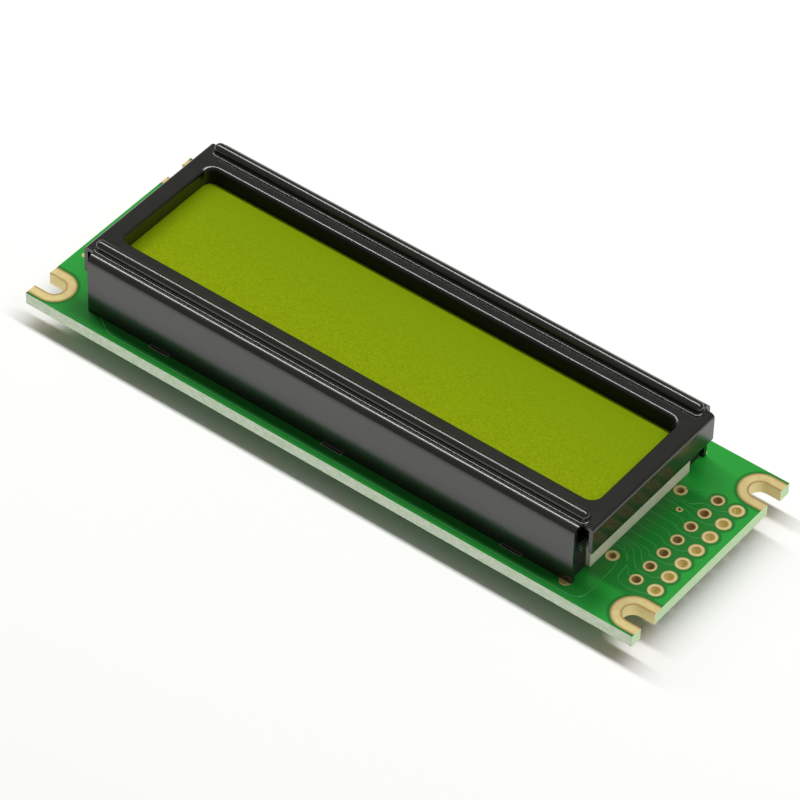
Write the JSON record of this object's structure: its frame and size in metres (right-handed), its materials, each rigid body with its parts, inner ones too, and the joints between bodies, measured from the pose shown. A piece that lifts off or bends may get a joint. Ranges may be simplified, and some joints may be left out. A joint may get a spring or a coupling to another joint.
{
  "type": "character lcd module",
  "caption": "Reflective one-line character display: a glass cell under a black folded steel bezel on a green circuit board with header pads at one end.",
  "frame": {"origin": "under the middle of the circuit board, on the plane that the flat packages under it rest on", "axes": "+X along the board towards the header pads, +Y across the board, +Z out of the display's face"},
  "size_m": [0.085, 0.0296, 0.0136],
  "materials": {
    "solder_mask": "glossy green lacquer over copper tracks",
    "bezel_black": "satin black lacquer",
    "white_plastic": "matt moulded",
    "reflective_film": "satin metallic film",
    "cell_glass": "clear polished, ground edges",
    "seal_resin": "matt",
    "crystal": "clear liquid held between the plates",
    "polariser_film": "fine anti-glare grain",
    "elastomer": "matt, striped with carbon",
    "gold_plate": "bright flash plating",
    "tin_plate": "satin solder",
    "package_resin": "matt moulded",
    "lead_metal": "satin tinned",
    "resistor_ceramic": "glazed top",
    "capacitor_ceramic": "matt fired"
  },
  "bodies": {
    "root": {"board": "solder_mask", "bezel": "bezel_black", "white_frame": "white_plastic", "reflector": "reflective_film", "rear_glass": "cell_glass", "cell_seal": "seal_resin", "crystal_layer": "crystal", "front_glass": "cell_glass", "front_polariser": "polariser_film", "front_strip": "elastomer", "back_strip": "elastomer", "contact_lands": "gold_plate", "inner_pads": "gold_plate", "outer_pads": "gold_plate", "slot_plating": "gold_plate", "lamp_hole_plating": "gold_plate", "corner_hole_plating": "gold_plate", "tab_slot_plating": "tin_plate", "via_plating": "gold_plate", "controller_body": "package_resin", "controller_leads": "lead_metal", "driver_body": "package_resin", "driver_leads": "lead_metal", "resistor_bodies": "resistor_ceramic", "resistor_ends": "tin_plate", "capacitor_body": "capacitor_ceramic", "capacitor_ends": "tin_plate"}
  },
  "joints": []
}
